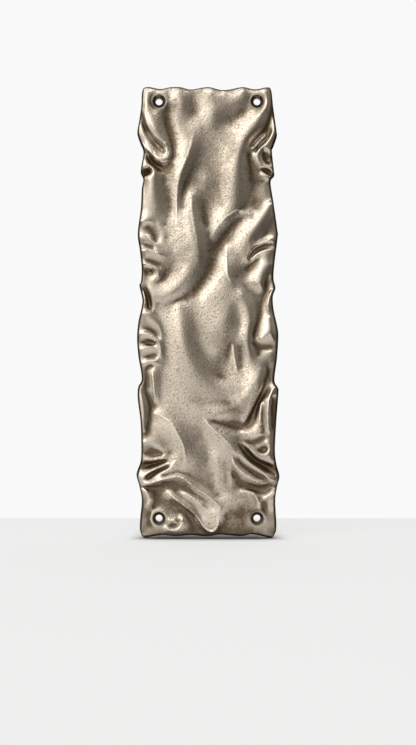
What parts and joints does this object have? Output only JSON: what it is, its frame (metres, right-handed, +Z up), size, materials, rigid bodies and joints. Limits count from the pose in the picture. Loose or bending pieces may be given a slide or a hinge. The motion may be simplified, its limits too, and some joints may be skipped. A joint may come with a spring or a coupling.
{
  "type": "door finger plate",
  "caption": "Heavy cast metal finger plate for a door, with a crumpled, softly folded face, wavy edges and countersunk screw holes at its corners.",
  "frame": {"origin": "centre of the flat back, which meets the door", "axes": "+Y out of the back into the door, so the folded face looks along -Y; +Z up the plate"},
  "size_m": [0.0953, 0.0104, 0.3001],
  "materials": {
    "cast_bronze": "white bronze casting, its folds rubbed bright and its hollows left dark brown"
  },
  "bodies": {
    "root": {"finger_plate": "cast_bronze"}
  },
  "joints": []
}
